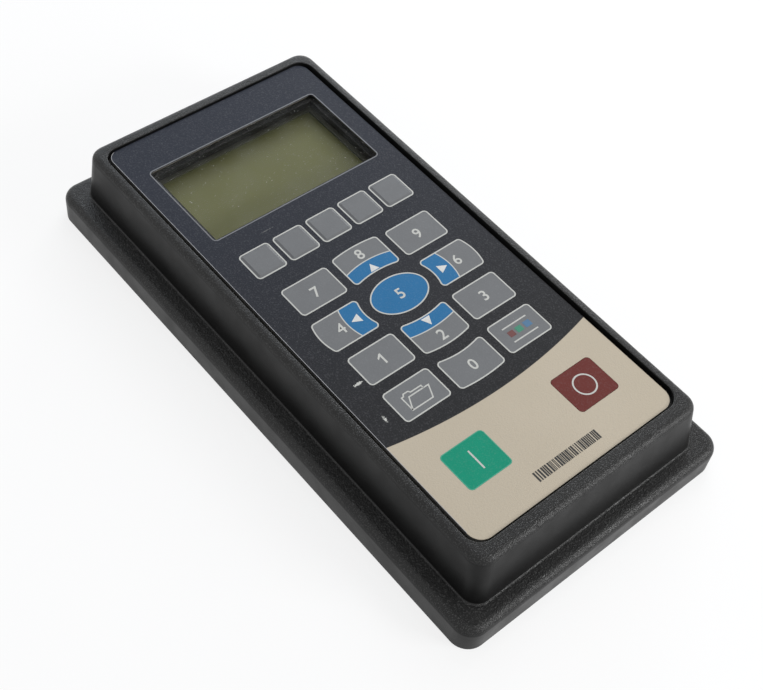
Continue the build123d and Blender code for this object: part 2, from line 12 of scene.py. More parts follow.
import bmesh
import bpy
import numpy as np
from mathutils import Euler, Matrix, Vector


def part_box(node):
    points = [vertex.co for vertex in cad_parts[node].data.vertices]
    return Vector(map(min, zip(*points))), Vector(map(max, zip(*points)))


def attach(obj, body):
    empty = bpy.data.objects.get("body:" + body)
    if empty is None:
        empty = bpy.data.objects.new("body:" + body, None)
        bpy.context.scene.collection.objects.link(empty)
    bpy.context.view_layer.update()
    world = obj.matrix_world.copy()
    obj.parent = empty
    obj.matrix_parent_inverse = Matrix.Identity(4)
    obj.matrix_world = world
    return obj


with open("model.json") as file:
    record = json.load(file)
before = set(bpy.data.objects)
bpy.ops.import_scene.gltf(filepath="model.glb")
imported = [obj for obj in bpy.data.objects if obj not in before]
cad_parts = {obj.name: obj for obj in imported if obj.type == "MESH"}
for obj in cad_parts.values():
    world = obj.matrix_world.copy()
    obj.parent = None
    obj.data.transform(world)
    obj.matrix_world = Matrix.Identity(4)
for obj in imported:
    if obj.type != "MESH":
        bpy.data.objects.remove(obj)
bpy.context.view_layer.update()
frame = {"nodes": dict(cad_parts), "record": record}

MM = 0.001
FACE = 24.3

# %% [markdown]
# ## The camera
#
# A photograph is a record of where the camera stood. Its place and angles were solved from the straight edges of
# the face film and of the housing, so the render falls on the photograph. A lens is given by its focal length on
# a 36 mm sensor.

# %% Camera
camera_data = bpy.data.cameras.new("camera")
camera_data.lens = 63.361
camera_data.sensor_width = 36.0
camera_data.clip_start = 0.01
camera = bpy.data.objects.new("camera", camera_data)
camera.location = (-0.171695, -0.163733, 0.300373)
camera.rotation_euler = Euler([math.radians(angle) for angle in (37.42735, -5.29237, -40.18411)])
bpy.context.scene.collection.objects.link(camera)
bpy.context.scene.camera = camera
bpy.context.scene.view_settings.view_transform = "Standard"
print("camera at", tuple(round(v, 4) for v in camera.location))

# %% [markdown]
# ## Building shader trees
#
# A finish is a small network of nodes. Wiring one by hand takes three lines a node, so two helpers shorten it:
# one adds a node and fills its sockets, with a number or with another node's output, and one does arithmetic.

# %% Node helpers
def add_node(tree, kind, sockets=(), **settings):
    """Add a node, set its properties, and fill its sockets with values or links."""
    made = tree.nodes.new(kind)
    for name, value in settings.items():
        setattr(made, name, value)
    for name, value in dict(sockets).items():
        if isinstance(value, bpy.types.NodeSocket):
            tree.links.new(value, made.inputs[name])
        else:
            made.inputs[name].default_value = value
    return made


def maths(tree, operation, first, second=0.0, clamp=False):
    """One arithmetic step on two sockets or numbers; gives the output socket."""
    return add_node(tree, "ShaderNodeMath", {0: first, 1: second}, operation=operation, use_clamp=clamp).outputs[0]


def ramp(tree, value, low, high, to_low=0.0, to_high=1.0):
    """Carry a value from one range to another with soft ends, which also makes a soft-edged mask."""
    sockets = {"Value": value, "From Min": low, "From Max": high, "To Min": to_low, "To Max": to_high}
    return add_node(tree, "ShaderNodeMapRange", sockets, interpolation_type="SMOOTHSTEP").outputs["Result"]


def blend(tree, share, first, second):
    """Mix two colours by a share from 0 to 1."""
    made = add_node(tree, "ShaderNodeMix", data_type="RGBA")
    for socket, value in ((made.inputs[0], share), (made.inputs[6], first), (made.inputs[7], second)):
        if isinstance(value, bpy.types.NodeSocket):
            tree.links.new(value, socket)
        else:
            socket.default_value = value
    return made.outputs[2]


def noise(tree, place, size_mm, detail=2.0, roughness=0.5):
    """Noise whose blotches are about size_mm across."""
    sockets = {"Vector": place, "Scale": 1.0 / (size_mm * MM), "Detail": detail, "Roughness": roughness}
    return add_node(tree, "ShaderNodeTexNoise", sockets).outputs["Fac"]


def rgb(red, green, blue):
    """A colour with the alpha that a colour socket also wants."""
    return (red, green, blue, 1.0)


def start_material(name, **sockets):
    """A new node material: gives it, its tree, its shader and the piece's own coordinates."""
    material = bpy.data.materials.new(name)
    material.use_nodes = True
    tree = material.node_tree
    shader = tree.nodes["Principled BSDF"]
    for socket, value in sockets.items():
        shader.inputs[socket.replace("_", " ")].default_value = value
    return material, tree, shader, add_node(tree, "ShaderNodeTexCoord")


def bump(tree, shader, height, depth_mm, strength=1.0):
    """Raise the surface by a height map, full white standing depth_mm proud."""
    sockets = {"Height": height, "Distance": depth_mm * MM, "Strength": strength}
    tree.links.new(add_node(tree, "ShaderNodeBump", sockets).outputs["Normal"], shader.inputs["Normal"])

# %% [markdown]
# ## A grain for the plain parts
#
# Most parts of a keypad are one stuff all over: a moulding, a stamped sheet, a board. What makes each believable
# is the same three things at its own scale: fine grain in the relief, slow drift in the colour, and patches where
# the gloss differs. One function writes all three, and the sizes are given in millimetres.

# %% Plain finishes
def plain_finish(name, colour, gloss, grain_mm, depth_mm, drift=0.12, stretch=(1.0, 1.0, 1.0), **sockets):
    """A finish with fine grain, drifting colour and uneven gloss. gloss is the roughness from its low to its high."""
    material, tree, shader, coordinates = start_material(name, **sockets)
    place = add_node(tree, "ShaderNodeMapping", {"Vector": coordinates.outputs["Object"], "Scale": stretch})
    fine = noise(tree, place.outputs[0], grain_mm, 3.0, 0.6)
    slow = noise(tree, coordinates.outputs["Object"], 14.0)
    darker = rgb(*[c * (1.0 - drift) for c in colour])
    lighter = rgb(*[min(c * (1.0 + drift), 1.0) for c in colour])
    tree.links.new(blend(tree, ramp(tree, slow, 0.35, 0.65), darker, lighter), shader.inputs["Base Color"])
    patches = noise(tree, coordinates.outputs["Object"], 4.0)
    tree.links.new(ramp(tree, patches, 0.3, 0.7, *gloss), shader.inputs["Roughness"])
    bump(tree, shader, fine, depth_mm)
    return material


FINISHES = {
    "cover_plastic": plain_finish("black moulding", (0.016, 0.016, 0.017), (0.42, 0.55), 0.35, 0.02),
    "gasket_foam": plain_finish("closed foam", (0.03, 0.03, 0.032), (0.8, 0.95), 0.5, 0.08),
    "insert_brass": plain_finish("turned brass", (0.68, 0.47, 0.19), (0.22, 0.38), 0.25, 0.01, Metallic=1.0),
    "screw_steel": plain_finish("zinc plate", (0.6, 0.6, 0.6), (0.25, 0.42), 0.2, 0.008, Metallic=1.0),
    "spacer_film": plain_finish("polyester", (0.2, 0.2, 0.19), (0.35, 0.45), 0.4, 0.004),
    "circuit_film": plain_finish("smoked amber film", (0.06, 0.045, 0.025), (0.3, 0.4), 0.5, 0.004),
    "dome_steel": plain_finish("spring steel", (0.62, 0.62, 0.61), (0.2, 0.32), 0.2, 0.004, Metallic=1.0),
    # The display frame is dark; its olive tint matches the shadowed border of the glass beside it, so it is partly
    # painted shadow.
    "frame_metal": plain_finish("olive-black paint", (0.034, 0.035, 0.024), (0.6, 0.7), 0.3, 0.003),
    "guide_white": plain_finish("milky acrylic", (0.72, 0.72, 0.66), (0.25, 0.35), 1.0, 0.004),
    "strip_rubber": plain_finish("striped rubber", (0.3, 0.3, 0.3), (0.7, 0.85), 0.2, 0.02, 0.3, (4.0, 0.2, 0.2)),
    "board_green": plain_finish("solder mask", (0.015, 0.13, 0.05), (0.25, 0.35), 1.2, 0.01),
    "chip_black": plain_finish("moulded resin", (0.02, 0.02, 0.021), (0.5, 0.65), 0.2, 0.01),
    "small_part_tan": plain_finish("fired ceramic", (0.35, 0.26, 0.16), (0.4, 0.55), 0.2, 0.006),
    "capacitor_sleeve": plain_finish("shrunk sleeve", (0.03, 0.04, 0.1), (0.25, 0.35), 0.6, 0.01),
    "connector_white": plain_finish("ivory nylon", (0.7, 0.66, 0.54), (0.4, 0.5), 0.3, 0.01),
    "contact_gold": plain_finish("gold plate", (0.83, 0.6, 0.24), (0.18, 0.3), 0.2, 0.004, Metallic=1.0),
}
print("plain finishes:", len(FINISHES))

# %% [markdown]
# ## The housing's moulding
#
# The mould is spark-eroded where the hand meets the part: the frame round the face and the flange are finely
# speckled, while the walls, which have to draw out of the mould, are nearly smooth and show soft reflections.
# The direction that the surface faces tells the two apart, so the grain's height is multiplied by a mask made from
# the upward part of the normal. The same mask places pale specks in the colour: painted glints where the grain
# would catch the light. Pale dust sits in the grain in a few places.

# %% Housing finish
def housing_finish():
    """Grained, with painted glints, where the surface faces up or rounds over; smoother and glossier on the steep
    walls.
    """
    material, tree, shader, coordinates = start_material("spark-grained moulding")
    place = coordinates.outputs["Object"]
    upward = add_node(tree, "ShaderNodeSeparateXYZ", {0: coordinates.outputs["Normal"]}).outputs["Z"]
    grained = ramp(tree, maths(tree, "ABSOLUTE", upward), 0.1, 0.75)
    speckle = noise(tree, place, 0.32, 1.0, 0.5)
    coarse = noise(tree, place, 0.6, 1.0)
    slow = noise(tree, place, 22.0, 3.0)
    dark = blend(tree, ramp(tree, slow, 0.3, 0.7), rgb(0.0045, 0.0045, 0.0045), rgb(0.008, 0.008, 0.0078))
    # Pale specks on the upward grain are painted glints, standing in for the light that the grain catches.
    painted_glints = maths(tree, "MULTIPLY", ramp(tree, speckle, 0.54, 0.7), grained)
    speckled = blend(tree, maths(tree, "MULTIPLY", painted_glints, 0.4), dark, rgb(0.11, 0.11, 0.108))
    dust = maths(tree, "MULTIPLY", ramp(tree, noise(tree, place, 1.6, 4.0, 0.7), 0.66, 0.74), grained)
    tree.links.new(blend(tree, maths(tree, "MULTIPLY", dust, 0.35), speckled, rgb(0.16, 0.16, 0.15)),
                   shader.inputs["Base Color"])
    worn = ramp(tree, noise(tree, place, 7.0), 0.3, 0.7, -0.04, 0.05)
    tree.links.new(maths(tree, "ADD", ramp(tree, grained, 0.0, 1.0, 0.36, 0.34), worn), shader.inputs["Roughness"])
    relief = maths(tree, "ADD", maths(tree, "MULTIPLY", speckle, 0.7), maths(tree, "MULTIPLY", coarse, 0.3))
    shallow = ramp(tree, grained, 0.0, 1.0, 0.12, 1.0)
    tree.links.new(ramp(tree, grained, 0.0, 1.0, 0.18, 0.32), shader.inputs["Specular IOR Level"])
    bump(tree, shader, maths(tree, "MULTIPLY", relief, shallow), 0.26)
    return material


FINISHES["housing_plastic"] = housing_finish()
print("housing:", FINISHES["housing_plastic"].name)

# %% [markdown]
# ## The printed face film
#
# A membrane keypad's face is a clear film printed on its back, with a fine velvet texture on its front that breaks
# up reflections. The colours meet along a wide arc: slate above, cream below, where the start and stop keys are. A
# distance from the arc's centre decides which ink is seen. Marks of use are drawn the same way: an ellipse round a
# point, its edge torn by noise.

# %% Face film
ARC_CENTRE = (0.0, 119.5)
ARC_RADIUS = 166.4
MARKS = (((-28.0, -24.1), (1.3, 0.4), 1.0), ((-29.6, -36.4), (0.4, 0.9), 1.0), ((-22.9, -20.4), (1.5, 0.16), 0.4),
         ((-15.5, 31.0), (2.2, 0.12), 0.2))


def scuff(tree, place, centre, size, ragged=0.9, grain_mm=0.5):
    """Mask of a torn mark: one inside an ellipse of these half-sizes in millimetres, with noise added to its edge."""
    sockets = {"Vector": place, "Location": [-c * MM / (s * MM) for c, s in zip(centre, size)] + [0.0],
               "Scale": [1.0 / (s * MM) for s in size] + [0.0]}
    near = add_node(tree, "ShaderNodeMapping", sockets)
    away = add_node(tree, "ShaderNodeVectorMath", {0: near.outputs[0]}, operation="LENGTH").outputs["Value"]
    torn = maths(tree, "SUBTRACT", noise(tree, place, grain_mm, 4.0, 0.7), 0.5)
    return ramp(tree, maths(tree, "ADD", away, maths(tree, "MULTIPLY", torn, ragged * 4.0)), 0.75, 1.0, 1.0, 0.0)


def film_finish():
    """Slate above the arc, painted bluer up the face as a sheen, and cream below it, with a velvet texture and marks
    of use.
    """
    material, tree, shader, coordinates = start_material("printed face film", Specular_IOR_Level=0.22)
    place = coordinates.outputs["Object"]
    centred = add_node(tree, "ShaderNodeMapping", {
        "Vector": place, "Location": (-ARC_CENTRE[0] * MM, -ARC_CENTRE[1] * MM, 0.0), "Scale": (1.0, 1.0, 0.0)})
    away = add_node(tree, "ShaderNodeVectorMath", {0: centred.outputs[0]}, operation="LENGTH").outputs["Value"]
    below = ramp(tree, away, (ARC_RADIUS - 0.08) * MM, (ARC_RADIUS + 0.08) * MM)
    slow = noise(tree, place, 25.0)
    # The slate is painted bluer towards the far end: a painted sheen, standing in for a bluish sky reflected there.
    painted_sheen_share = ramp(tree, add_node(tree, "ShaderNodeSeparateXYZ", {0: place}).outputs["Y"], -50 * MM, 70 * MM)
    slate = blend(tree, painted_sheen_share, rgb(0.0085, 0.0088, 0.0102), rgb(0.0092, 0.0118, 0.021))
    cream = blend(tree, slow, rgb(0.433, 0.377, 0.29), rgb(0.48, 0.42, 0.33))
    ink = blend(tree, below, slate, cream)
    velvet = noise(tree, place, 0.36, 1.0)
    ink = blend(tree, maths(tree, "MULTIPLY", ramp(tree, velvet, 0.5, 0.75), 0.08), ink, rgb(0.3, 0.3, 0.32))
    marks = maths(tree, "MULTIPLY", ramp(tree, noise(tree, place, 0.9, 3.0, 0.7), 0.71, 0.76), 0.35)
    for centre, size, share in MARKS:
        torn = maths(tree, "MULTIPLY", scuff(tree, place, centre, size), share)
        marks = maths(tree, "MAXIMUM", marks, torn)
    tree.links.new(blend(tree, marks, ink, rgb(0.5, 0.5, 0.47)), shader.inputs["Base Color"])
    thumbed = ramp(tree, noise(tree, place, 12.0, 3.0), 0.3, 0.7, 0.39, 0.44)
    tree.links.new(thumbed, shader.inputs["Roughness"])
    bump(tree, shader, velvet, 0.05)
    return material


FINISHES["overlay_film"] = film_finish()
print("film arc radius:", ARC_RADIUS, "mm")

# %% [markdown]
# ## The keys' inks
#
# Each key is a patch of the same film in a lighter ink, cut free by a hair's width so that it can be pressed. Four
# of them carry an arrow on a blue field whose far edge is an arc. Again a distance from a point draws the arc,
# and a narrow band of the same distance draws the pale line that closes the blue field.

# %% Key inks
GREY = (0.146, 0.15, 0.155)
BLUE = (0.017, 0.13, 0.29)
PRINT = (0.5, 0.5, 0.47)
LINE = 0.16


def key_finish(name, ink, field=None, gloss=(0.35, 0.4)):
    """One ink, or grey with a blue field. field is the arc's centre, its radius, and +1 where blue lies outside."""
    material, tree, shader, coordinates = start_material(name, Specular_IOR_Level=0.22)
    place = coordinates.outputs["Object"]
    slow = noise(tree, place, 6.0)
    shaded = blend(tree, slow, rgb(*[c * 0.94 for c in ink]), rgb(*[c * 1.06 for c in ink]))
    if field:
        (x, y), radius, side = field
        centred = add_node(tree, "ShaderNodeMapping", {
            "Vector": place, "Location": (-x * MM, -y * MM, 0.0), "Scale": (1.0, 1.0, 0.0)})
        away = add_node(tree, "ShaderNodeVectorMath", {0: centred.outputs[0]}, operation="LENGTH").outputs["Value"]
        past = maths(tree, "MULTIPLY", maths(tree, "SUBTRACT", away, radius * MM), side)
        shaded = blend(tree, ramp(tree, past, -0.03 * MM, 0.03 * MM), shaded, rgb(*BLUE))
        line = ramp(tree, maths(tree, "ABSOLUTE", past), (LINE - 0.05) * MM, (LINE + 0.05) * MM, 1.0, 0.0)
        shaded = blend(tree, line, shaded, rgb(*PRINT))
    velvet = noise(tree, place, 0.36, 1.0)
    worn = maths(tree, "MULTIPLY", ramp(tree, noise(tree, place, 0.8, 3.0, 0.7), 0.72, 0.78), 0.3)
    specks = maths(tree, "MAXIMUM", worn, maths(tree, "MULTIPLY", ramp(tree, velvet, 0.5, 0.75), 0.04))
    tree.links.new(blend(tree, specks, shaded, rgb(0.5, 0.5, 0.5)), shader.inputs["Base Color"])
    tree.links.new(ramp(tree, noise(tree, place, 3.0), 0.3, 0.7, *gloss), shader.inputs["Roughness"])
    bump(tree, shader, velvet, 0.03)
    return material


FINISHES["key_grey"] = key_finish("grey ink", GREY)
FINISHES["key_blue"] = key_finish("blue ink", BLUE)
FINISHES["key_green"] = key_finish("green ink", (0.003, 0.23, 0.14))
FINISHES["key_red"] = key_finish("dark red ink", (0.11, 0.02, 0.016))
PAD = key_finish("grey ink on a raised pad", GREY, gloss=(0.3, 0.36))
OWN_FINISH = {f"soft_key_{number}": PAD for number in range(1, 6)}
OWN_FINISH.update({
    "key_8": key_finish("grey over blue", GREY, ((0.0, -20.28), 26.82, -1)),
    "key_2": key_finish("blue over grey", GREY, ((0.0, 13.38), 35.12, -1)),
    "key_4": key_finish("grey left of blue", GREY, ((-3.36, -7.7), 14.8, -1)),
    "key_6": key_finish("blue left of grey", GREY, ((3.36, -7.7), 14.8, -1)),
})
print("keys with a finish of their own:", len(OWN_FINISH))

# %% [markdown]
# ## The display
#
# Under a clear pane, five millimetres down, lies the glass of an unlit liquid crystal display: an even olive,
# with the faint grid that its transparent tracks leave. A painted shadow darkens it into its far and right edges,
# under the window's rim. The pane is thin and flat, so it needs no bending of light: it is mostly see-through,
# keeps its mirror-like top, and carries the dust that shows against the dark.

# %% Display finishes
def display_finish():
    """Olive glass with a painted shadow that darkens it into its far and right edges, under a smooth top, with the
    cells' faint grid.
    """
    material, tree, shader, coordinates = start_material("olive display glass", Specular_IOR_Level=0.25)
    place = coordinates.outputs["Object"]
    slow = noise(tree, place, 30.0, 1.0)
    olive = blend(tree, slow, rgb(0.1, 0.101, 0.038), rgb(0.112, 0.113, 0.046))
    edges = add_node(tree, "ShaderNodeSeparateXYZ", {0: place}).outputs
    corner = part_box("display_glass")[1]
    far_end, right_side = corner.y / MM, corner.x / MM
    # A painted shadow: the glass is darkened into its far and right edges, where the window's rim casts its shadow.
    shade = maths(tree, "MULTIPLY", ramp(tree, edges["Y"], (far_end - 14) * MM, (far_end - 4) * MM, 1.0, 0.5),
                  ramp(tree, edges["X"], (right_side - 12) * MM, (right_side - 4) * MM, 1.0, 0.7))
    olive = blend(tree, shade, rgb(0.02, 0.021, 0.014), olive)
    cells = add_node(tree, "ShaderNodeTexBrick", {
        "Vector": place, "Scale": 1.0, "Mortar Size": 0.00003, "Brick Width": 0.00065, "Row Height": 0.00065,
        "Color1": rgb(1, 1, 1), "Color2": rgb(1, 1, 1), "Mortar": rgb(0, 0, 0)}, offset=0.0)
    grid = maths(tree, "MULTIPLY", maths(tree, "SUBTRACT", 1.0, cells.outputs["Color"]), 0.08)
    tree.links.new(blend(tree, grid, olive, rgb(0.09, 0.095, 0.05)), shader.inputs["Base Color"])
    tree.links.new(ramp(tree, noise(tree, place, 5.0), 0.3, 0.7, 0.3, 0.4), shader.inputs["Roughness"])
    bump(tree, shader, noise(tree, place, 2.0), 0.002)
    return material


def pane_finish():
    """A clear pane: nearly see-through, with bright specks of dust that aren't."""
    material, tree, shader, coordinates = start_material("clear pane", Specular_IOR_Level=0.2, IOR=1.49)
    place = coordinates.outputs["Object"]
    dust = ramp(tree, noise(tree, place, 0.5, 2.0, 0.6), 0.72, 0.76)
    haze = ramp(tree, noise(tree, place, 9.0, 3.0), 0.3, 0.8, 0.0, 0.02)
    tree.links.new(maths(tree, "MAXIMUM", haze, maths(tree, "MULTIPLY", dust, 0.7)), shader.inputs["Alpha"])
    tree.links.new(blend(tree, dust, rgb(0.5, 0.51, 0.5), rgb(0.8, 0.8, 0.76)), shader.inputs["Base Color"])
    tree.links.new(ramp(tree, noise(tree, place, 6.0), 0.3, 0.7, 0.06, 0.14), shader.inputs["Roughness"])
    bump(tree, shader, noise(tree, place, 3.0), 0.001)
    return material


FINISHES["display_green"] = display_finish()
FINISHES["window_clear"] = pane_finish()

# %% [markdown]
# ## Giving each solid its finish
#
# The record names a material slot for every solid. Looking the finish up by that name keeps the two lists in step,
# and the keys that need a finish of their own are looked up first.

# %% Assign
slots = {part["node"]: part["material_slot"] for part in frame["record"]["subparts"]}
for node_name, solid in frame["nodes"].items():
    finish = OWN_FINISH.get(node_name, FINISHES[slots[node_name]])
    solid.data.materials.clear()
    solid.data.materials.append(finish)
print("finished solids:", len(frame["nodes"]))

# %% [markdown]
# ## Print as thin ink
#
# Lines, digits and symbols are printed inks a few hundredths of a millimetre thick. They could be painted in the
# shaders, but separate thin slabs keep their edges crisp from any distance and move with their own key. Two
# functions make them all: a band that follows an outline, and a plate that fills one.

# %% Print helpers
INK_LOW = FACE - 0.04
INK_TOP = FACE + 0.03


def ink_material(name, colour):
    """A printing ink: one colour with a soft sheen, mottled where it is thin."""
    material, tree, shader, coordinates = start_material(name)
    place = coordinates.outputs["Object"]
    mottled = ramp(tree, noise(tree, place, 0.5, 3.0), 0.3, 0.7)
    tree.links.new(blend(tree, mottled, rgb(*[c * 0.9 for c in colour]), rgb(*colour)), shader.inputs["Base Color"])
    tree.links.new(ramp(tree, noise(tree, place, 2.0), 0.3, 0.7, 0.35, 0.45), shader.inputs["Roughness"])
    bump(tree, shader, noise(tree, place, 0.22, 2.0), 0.008)
    return material


INKS = {name: ink_material(name + " print", colour) for name, colour in {
    "pale": PRINT, "frame": (0.15, 0.155, 0.165), "black": (0.012, 0.012, 0.012), "red": (0.12, 0.035, 0.032),
    "green": (0.035, 0.21, 0.13), "blue": (0.06, 0.15, 0.26), "white": (0.62, 0.62, 0.6),
    "leaf": (0.05, 0.33, 0.22), "glint": (0.36, 0.36, 0.37)}.items()}


def outward(points):
    """Unit vectors square to a closed outline, pointing out of it: the mean of the two sides' normals at a point."""
    ahead = np.roll(points, -1, axis=0) - points
    ahead /= np.linalg.norm(ahead, axis=1)[:, None]
    side = np.column_stack([ahead[:, 1], -ahead[:, 0]])
    mean = side + np.roll(side, 1, axis=0)
    return mean / (0.5 * np.sum(mean * mean, axis=1))[:, None]


def band(points, grow, width, low=INK_LOW, top=INK_TOP):
    """A closed strip along an outline that runs anticlockwise.

    Four rings of points, the outline moved out by grow and in from there by width, each at two heights, are
    joined by quads into a tube of rectangular section.
    """
    points = np.asarray(points, float)
    normals = outward(points)
    rings = [(grow, low), (grow, top), (grow - width, top), (grow - width, low)]
    grid = np.stack([np.column_stack([points + normals * out, np.full(len(points), z)]) for out, z in rings], axis=1)
    step, across = np.meshgrid(np.arange(len(points)), np.arange(4), indexing="ij")
    after, next_across = (step + 1) % len(points), (across + 1) % 4
    quads = np.stack([step * 4 + across, after * 4 + across, after * 4 + next_across, step * 4 + next_across], axis=-1)
    return grid.reshape(-1, 3), quads.reshape(-1, 4).tolist()


def plate(points, low=INK_LOW, top=INK_TOP):
    """A filled slab over an outline that runs anticlockwise: a top face, a bottom face and a wall of quads."""
    points = np.asarray(points, float)
    count = len(points)
    vertices = np.vstack([np.column_stack([points, np.full(count, z)]) for z in (low, top)])
    step = np.arange(count)
    wall = np.column_stack([step, (step + 1) % count, (step + 1) % count + count, step + count]).tolist()
    return vertices, wall + [list(range(count))[::-1], list(range(count, 2 * count))]


def bar(x0, y0, x1, y1):
    """The four corners of an upright rectangle, anticlockwise."""
    return [(x0, y0), (x1, y0), (x1, y1), (x0, y1)]


def ellipse(x, y, across, along, count=72):
    """Points round an ellipse: its centre plus its half-axes times the cosine and sine of an even angle."""
    angle = np.arange(count) * 2 * np.pi / count
    return np.column_stack([x + across * np.cos(angle), y + along * np.sin(angle)])


def print_piece(name, body, parts):
    """Join slabs into one piece that rides on a body. parts is a list of (ink, (vertices, faces))."""
    vertices, faces, inks = [], [], []
    for ink, (points, polygons) in parts:
        faces += [[corner + len(vertices) for corner in polygon] for polygon in polygons]
        inks += [ink] * len(polygons)
        vertices += (np.asarray(points) * MM).tolist()
    mesh = bpy.data.meshes.new(name)
    mesh.from_pydata(vertices, [], faces)
    names = sorted(set(inks))
    for ink in names:
        mesh.materials.append(INKS[ink])
    mesh.polygons.foreach_set("material_index", [names.index(ink) for ink in inks])
    mesh.update()
    piece = bpy.data.objects.new(name, mesh)
    bpy.context.scene.collection.objects.link(piece)
    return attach(piece, body)

# %% [markdown]
# ## Finding a key's outline
#
# The pale outline has to follow its key exactly, so it is read from the key's solid: the edges that lie in the
# plane of the face and belong to one upward face and one steep face. A copy of the mesh is merged first, because
# the solid's triangles are loose. The edges are then walked from point to point.

# %% Outlines
def key_outline(node_name):
    """The key's edge in the plane of the face, in millimetres, anticlockwise."""
    mesh = bmesh.new()
    mesh.from_mesh(frame["nodes"][node_name].data)
    bmesh.ops.remove_doubles(mesh, verts=mesh.verts, dist=0.002 * MM)
    level = {v for v in mesh.verts if abs(v.co.z - FACE * MM) < 0.005 * MM}
    after = {}
    for face in mesh.faces:
        if face.normal.z < 0.9:
            continue
        for loop in face.loops:
            partner = [other for other in loop.edge.link_faces if other is not face]
            start, end = loop.vert, loop.link_loop_next.vert
            if start in level and end in level and partner and abs(partner[0].normal.z) < 0.1:
                after[start] = end
    start = next(iter(after))
    walk = [start]
    while after[walk[-1]] is not start:
        walk.append(after[walk[-1]])
    points = np.array([v.co.to_tuple()[:2] for v in walk]) / MM
    mesh.free()
    return points


OUTLINES = {name: key_outline(name) for name in frame["nodes"] if "key_" in name}
print("outlines:", {name: len(points) for name, points in OUTLINES.items()})

# %% [markdown]
# ## Digits
#
# A digit is a text object turned into a mesh. The font that comes with Blender is a plain sans like the one on the
# keys; a small offset makes its strokes as heavy. The text is extruded a little, so that it too is a slab of ink.
# Only that font's 1 is a bare bar, so the 1 is drawn with its seven corners.

# %% Digits
def digit_slab(text, x, y, height):
    """The vertices and faces of one digit, its middle at x, y and its height as given, in millimetres."""
    curve = bpy.data.curves.new("digit", "FONT")
    curve.body = text
    curve.align_x = "CENTER"
    curve.offset = 0.012
    curve.extrude = 0.01
    curve.resolution_u = 6
    holder = bpy.data.objects.new("digit", curve)
    bpy.context.scene.collection.objects.link(holder)
    shape = bpy.data.meshes.new_from_object(holder.evaluated_get(bpy.context.evaluated_depsgraph_get()))
    flat = np.empty(len(shape.vertices) * 3)
    shape.vertices.foreach_get("co", flat)
    points = flat.reshape(-1, 3)
    faces = [list(polygon.vertices) for polygon in shape.polygons]
    low, high = points.min(0), points.max(0)
    middle = (low + high) / 2
    scale = height / (high[1] - low[1])
    points = (points - middle) * (scale, scale, (INK_TOP - INK_LOW) / (high[2] - low[2]))
    points += (x, y, (INK_TOP + INK_LOW) / 2)
    bpy.data.objects.remove(holder)
    bpy.data.curves.remove(curve)
    bpy.data.meshes.remove(shape)
    return points, faces


DIGITS = {"key_7": ("7", -17.95, 5.94), "key_8": ("8", 0.0, 9.31), "key_9": ("9", 18.16, 5.95),
          "key_4": ("4", -20.4, -7.73), "key_5": ("5", 0.1, -7.74), "key_6": ("6", 20.7, -7.74),
          "key_2": ("2", 0.0, -24.82), "key_3": ("3", 18.17, -21.65),
          "key_0": ("0", 0.0, -36.96)}
DIGIT_HEIGHT = 3.5
ONE = [(-17.98, -23.37), (-17.4, -23.37), (-17.4, -19.87), (-17.85, -19.87), (-19.0, -20.95), (-19.0, -21.55),
       (-17.98, -20.75)]
legends = {name: [] for name in OUTLINES}
for node_name, (text, x, y) in DIGITS.items():
    legends[node_name].append(("pale", digit_slab(text, x, y, DIGIT_HEIGHT)))
legends["key_1"].append(("pale", plate(ONE)))
print("digits:", len(DIGITS) + 1)

# %% [markdown]
# ## Arrows and symbols
#
# The arrows are plain triangles. The folder is two strokes, its back with a tab and its slanted front. Start is a
# bar and stop is a ring. The last key of the pad shows three coloured squares between two lines.

# %% Symbols
LINE_WIDTH = 0.38


def stroke(points, width=LINE_WIDTH):
    """A line of even width along an open path: its points pushed to each side, out along one and back the other."""
    points = np.asarray(points, float)
    ahead = np.diff(points, axis=0)
    ahead /= np.linalg.norm(ahead, axis=1)[:, None]
    side = np.column_stack([-ahead[:, 1], ahead[:, 0]])
    mean = np.vstack([side[:1], side[:-1] + side[1:], side[-1:]])
    mean[1:-1] /= (0.5 * np.sum(mean[1:-1] ** 2, axis=1))[:, None]
    return np.vstack([points - mean * width / 2, (points + mean * width / 2)[::-1]])


TRIANGLES = {"key_8": [(-1.45, 2.48), (1.45, 2.48), (0.0, 5.04)],
             "key_2": [(-1.45, -17.96), (0.0, -20.84), (1.45, -17.96)],
             "key_4": [(-16.75, -7.7), (-13.93, -9.15), (-13.93, -6.25)],
             "key_6": [(17.15, -7.7), (14.32, -6.25), (14.32, -9.15)]}
for node_name, corners in TRIANGLES.items():
    legends[node_name].append(("white", plate(corners)))

FOLDER_BACK = [(-22.1, -38.6), (-22.1, -34.1), (-21.4, -34.05), (-21.0, -33.4), (-19.4, -33.4), (-19.0, -33.98),
               (-15.45, -33.98), (-15.45, -34.9)]
FOLDER_FRONT = [(-22.1, -38.6), (-20.3, -34.9), (-13.7, -34.9), (-15.3, -38.6)]
legends["key_folder"].append(("pale", plate(stroke(FOLDER_BACK))))
legends["key_folder"].append(("pale", band(FOLDER_FRONT[::-1], LINE_WIDTH / 2, LINE_WIDTH)))

RULES = [bar(13.9, -33.5, 22.55, -33.1), bar(13.85, -38.45, 22.6, -38.05)]
SQUARES = {"red": bar(14.25, -36.65, 16.25, -34.75), "green": bar(17.0, -36.6, 19.1, -34.7),
           "blue": bar(20.0, -36.6, 22.2, -34.6)}
legends["key_bars"] += [("pale", plate(rule)) for rule in RULES]
legends["key_bars"] += [(ink, plate(square)) for ink, square in SQUARES.items()]

